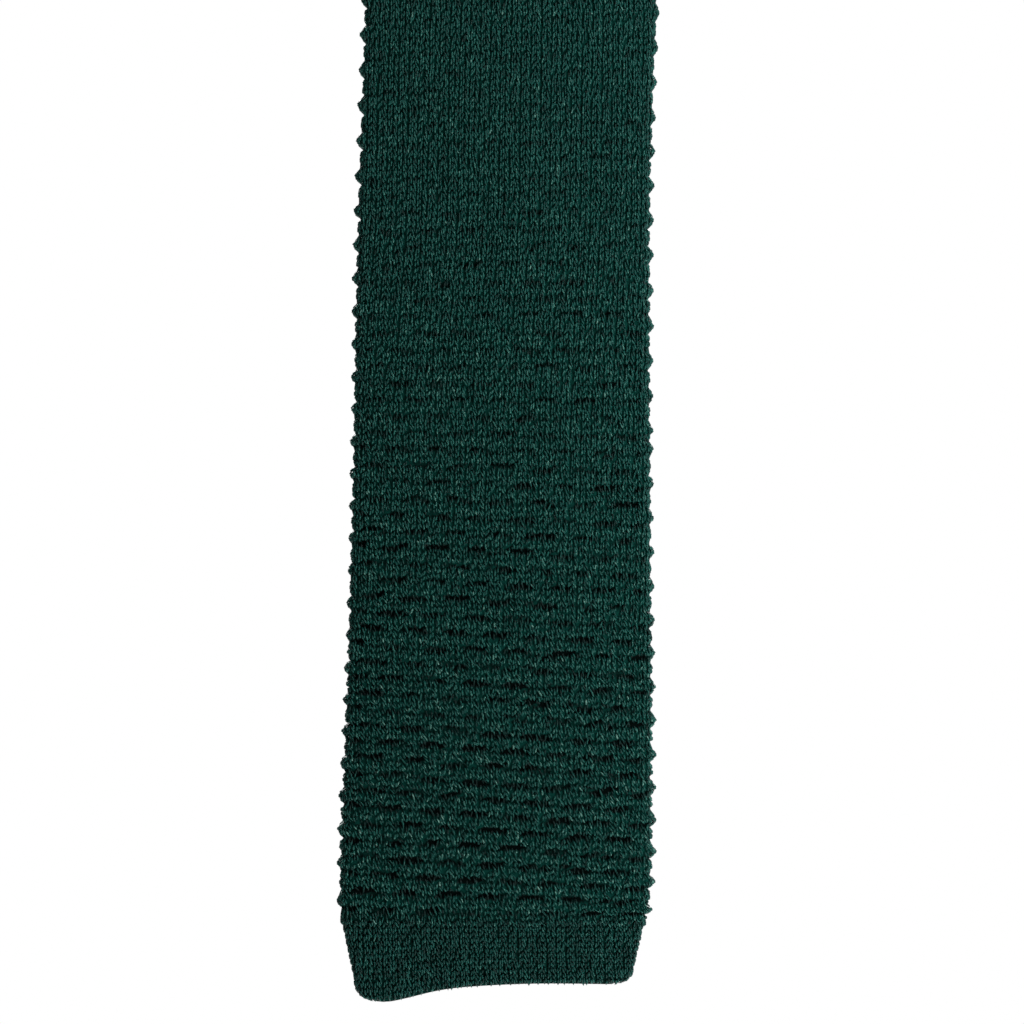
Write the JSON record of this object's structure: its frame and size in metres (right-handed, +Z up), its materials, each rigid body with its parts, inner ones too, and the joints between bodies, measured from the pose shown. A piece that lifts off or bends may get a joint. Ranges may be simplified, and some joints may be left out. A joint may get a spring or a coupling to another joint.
{
  "type": "knitted necktie",
  "caption": "Square-ended knitted necktie hung over a bar: a flat rippled tube with plain hems, narrowing to a slim neck band.",
  "frame": {"origin": "top of the bend of the neck band on its inside, where the cloth sits on the bar", "axes": "+Z up, the front blade hangs at -Y and faces -Y, +X to the right seen from the front"},
  "size_m": [0.0643, 0.0254, 0.7611],
  "materials": {
    "rippled_knit": "matt wool knit with cross ripples",
    "plain_knit": "matt plain wool knit"
  },
  "bodies": {
    "root": {"front_blade": "rippled_knit", "front_hem": "plain_knit", "neck_band": "plain_knit", "rear_blade": "rippled_knit", "rear_hem": "plain_knit"}
  },
  "joints": []
}
